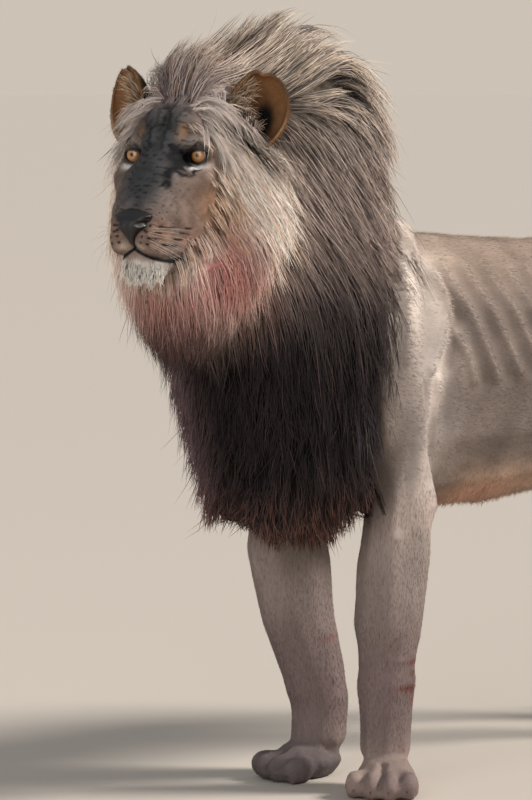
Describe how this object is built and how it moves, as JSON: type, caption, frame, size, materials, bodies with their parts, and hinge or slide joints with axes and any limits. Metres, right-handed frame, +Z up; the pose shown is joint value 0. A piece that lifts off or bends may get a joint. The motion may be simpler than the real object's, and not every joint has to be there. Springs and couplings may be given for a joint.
{
  "type": "lion",
  "caption": "Life-size standing male lion with a full dark mane, head turned to its left, feet flat on the floor.",
  "frame": {"origin": "on the floor under the middle of the animal's box", "axes": "+Z up, the lion faces -Y and its left side is at +X; +Y runs back along the body to the tail"},
  "size_m": [0.4476, 1.9814, 1.492],
  "materials": {
    "coat": "short flat hair over skin, grey-tan, paler where the sun takes it, pinkish under the belly",
    "face": "very short hair, grey on the forehead and nose bridge, tan on the cheeks, white on the chin",
    "ear": "short orange-brown hair inside and on the rim, dark in the hollow",
    "mane_dark": "long black-brown hair, reddish towards the tips of the fringe",
    "mane_grey": "long grey-brown hair with dark roots and sunlit tips",
    "mane_pale": "long cream hair, pinkish under the jaw",
    "eye": "wet amber iris with a small round pupil and a dark rim",
    "nose": "bare, fine-grained, near black, slightly moist",
    "skin": "bare dark skin of the lids, lips and the eye corners",
    "claw": "horn, dark at the root and paler at the tip",
    "whisker": "stiff white bristle"
  },
  "bodies": {
    "root": {"lower_jaw": "face", "head": "face", "fore_paw_left": "coat", "fore_paw_right": "coat", "forearm_left": "coat", "forearm_right": "coat", "shoulder_left": "coat", "shoulder_right": "coat", "neck": "coat", "chest": "coat", "hind_paw_left": "coat", "hind_paw_right": "coat", "hock_left": "coat", "hock_right": "coat", "shank_left": "coat", "shank_right": "coat", "thigh_left": "coat", "thigh_right": "coat", "tail_tuft": "mane_dark", "tail": "coat", "loin": "coat", "rump": "coat", "mane_crown": "mane_grey", "mane_ruff_left": "mane_pale", "mane_ruff_right": "mane_pale", "mane_beard": "mane_pale", "mane_neck_left": "mane_grey", "mane_neck_right": "mane_grey", "mane_chest_left": "mane_dark", "mane_chest_right": "mane_dark", "mane_fringe": "mane_dark", "ear_left": "ear", "ear_right": "ear", "eye_left": "eye", "eye_right": "eye", "nose_pad": "nose"}
  },
  "joints": []
}
